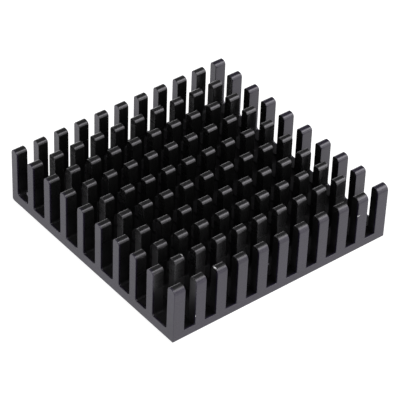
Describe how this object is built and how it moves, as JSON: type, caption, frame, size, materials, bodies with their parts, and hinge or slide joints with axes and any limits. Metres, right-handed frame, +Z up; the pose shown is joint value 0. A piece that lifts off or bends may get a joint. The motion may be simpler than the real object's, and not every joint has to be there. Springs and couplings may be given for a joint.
{
  "type": "pin fin heat sink",
  "caption": "Square heat sink in black anodised aluminium: a flat base with rows of upright pins with rounded tops, extruded as a comb and sawn across.",
  "frame": {"origin": "centre of the flat underside", "axes": "+Z up along the pins, X along the extruded fins and across the saw slots, Y across the fins, with the slightly thicker front fin at -Y"},
  "size_m": [0.04, 0.04, 0.0098],
  "materials": {
    "black_anodised": "semi-gloss black anodised, with small bare nicks at a few pin edges"
  },
  "bodies": {
    "root": {"heat_sink": "black_anodised"}
  },
  "joints": []
}
